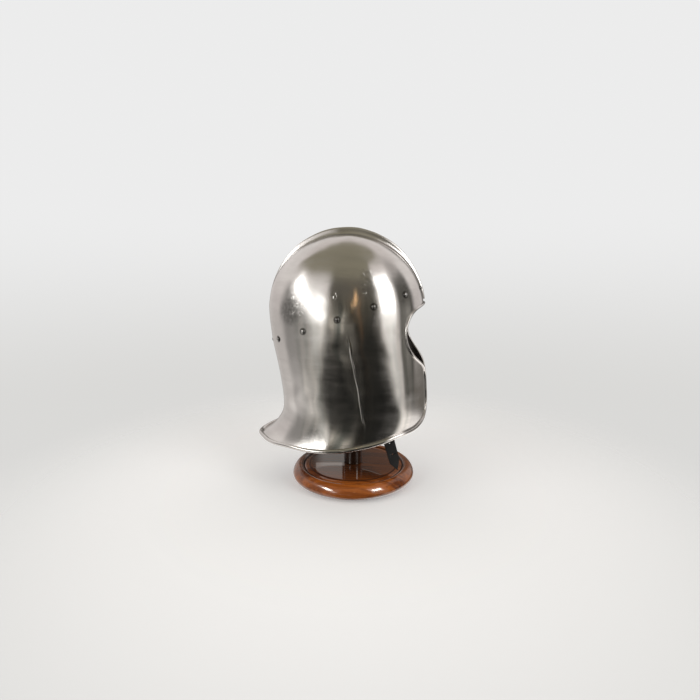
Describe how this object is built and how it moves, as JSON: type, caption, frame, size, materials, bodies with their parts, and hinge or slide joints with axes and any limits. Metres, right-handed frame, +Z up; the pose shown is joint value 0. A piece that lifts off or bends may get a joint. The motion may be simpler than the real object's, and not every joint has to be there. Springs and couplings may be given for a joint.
{
  "type": "barbute helmet on a turned wooden display stand",
  "caption": "Open-faced steel barbute with a low comb, rolled edges, lining rivets and leather chin strap, resting on a round turned wooden display stand.",
  "frame": {"origin": "centre of the stand's flat foot, on the surface it stands on", "axes": "+Z up; -Y is where the face opening looks and +Y the tail; the wearer's right is -X; the helmet is tipped back as displayed"},
  "size_m": [0.1918, 0.2562, 0.377],
  "materials": {
    "steel": "satin-polished sheet with fine brushing and faint hammer marks",
    "rivet_steel": "polished domed heads",
    "leather": "black, smooth",
    "iron": "plain dark iron",
    "wood": "gloss varnish, red-brown",
    "post_wood": "dark varnish"
  },
  "bodies": {
    "root": {"barbute_skull": "steel", "rivet_right_1": "rivet_steel", "rivet_right_2": "rivet_steel", "rivet_right_3": "rivet_steel", "rivet_right_4": "rivet_steel", "rivet_right_5": "rivet_steel", "rivet_right_6": "rivet_steel", "rivet_right_7": "rivet_steel", "rivet_left_1": "rivet_steel", "rivet_left_2": "rivet_steel", "rivet_left_3": "rivet_steel", "rivet_left_4": "rivet_steel", "rivet_left_5": "rivet_steel", "rivet_left_6": "rivet_steel", "rivet_left_7": "rivet_steel", "strap_right": "leather", "strap_left": "leather", "buckle": "iron", "stand_base": "wood", "stand_post": "post_wood", "stand_head": "post_wood"}
  },
  "joints": []
}
